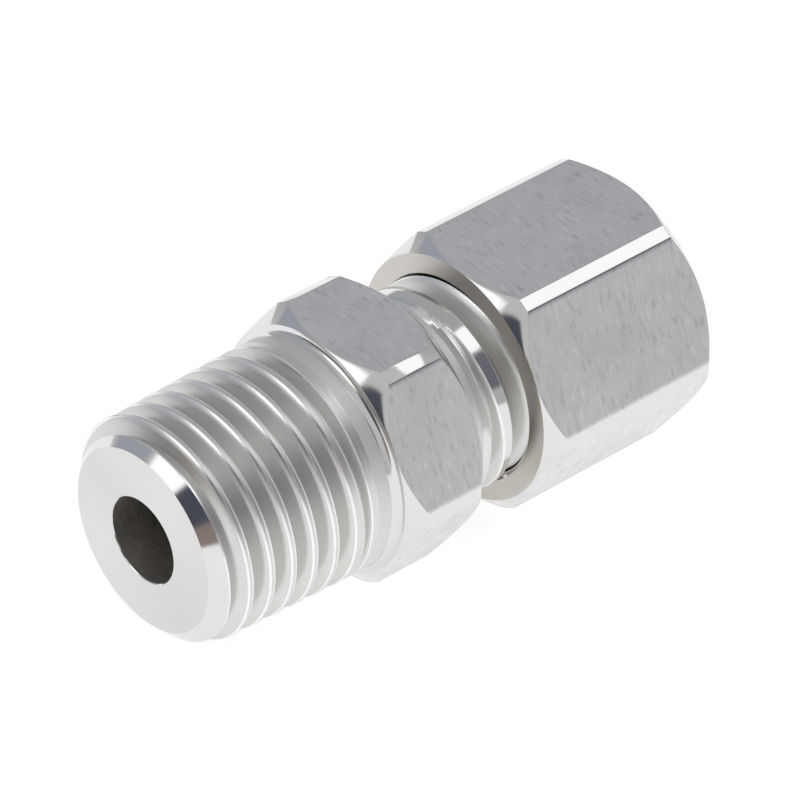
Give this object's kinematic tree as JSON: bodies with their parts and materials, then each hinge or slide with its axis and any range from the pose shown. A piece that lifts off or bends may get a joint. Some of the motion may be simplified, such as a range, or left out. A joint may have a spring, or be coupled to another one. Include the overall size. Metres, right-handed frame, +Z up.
{
  "type": "thermocouple compression fitting",
  "caption": "Metal compression fitting with a tapered pipe thread, hexagon body, ferrule and screwed hexagon nut, clamping a thin sheathed probe in a port.",
  "frame": {"origin": "on the common axis, at the face of the threaded port end", "axes": "+X along the axis from the port end to the compression nut, +Z up through a flat of each hexagon, the fitting lying on the opposite flats"},
  "size_m": [0.0335, 0.016, 0.0142],
  "materials": {
    "body_steel": "turned and milled stainless steel, bright",
    "ferrule_steel": "turned stainless steel, satin",
    "nut_steel": "turned and milled stainless steel, bright"
  },
  "bodies": {
    "body": {"fitting_body": "body_steel"},
    "ferrule": {"ferrule": "ferrule_steel"},
    "nut": {"compression_nut": "nut_steel"}
  },
  "joints": [
    {"name": "ferrule_slide", "type": "slide", "parent": "body", "child": "ferrule", "axis": [1, 0, 0], "range_m": [0, 0.0058]},
    {"name": "nut_turn", "type": "hinge", "parent": "ferrule", "child": "nut", "pos_m": [0.02745, 0, 0], "axis": [1, 0, 0], "range_deg": [0, 1200]}
  ],
  "couplings": [
    {"joint": "nut_turn", "follows": "ferrule_slide", "rad_per_m": 3590.4}
  ]
}
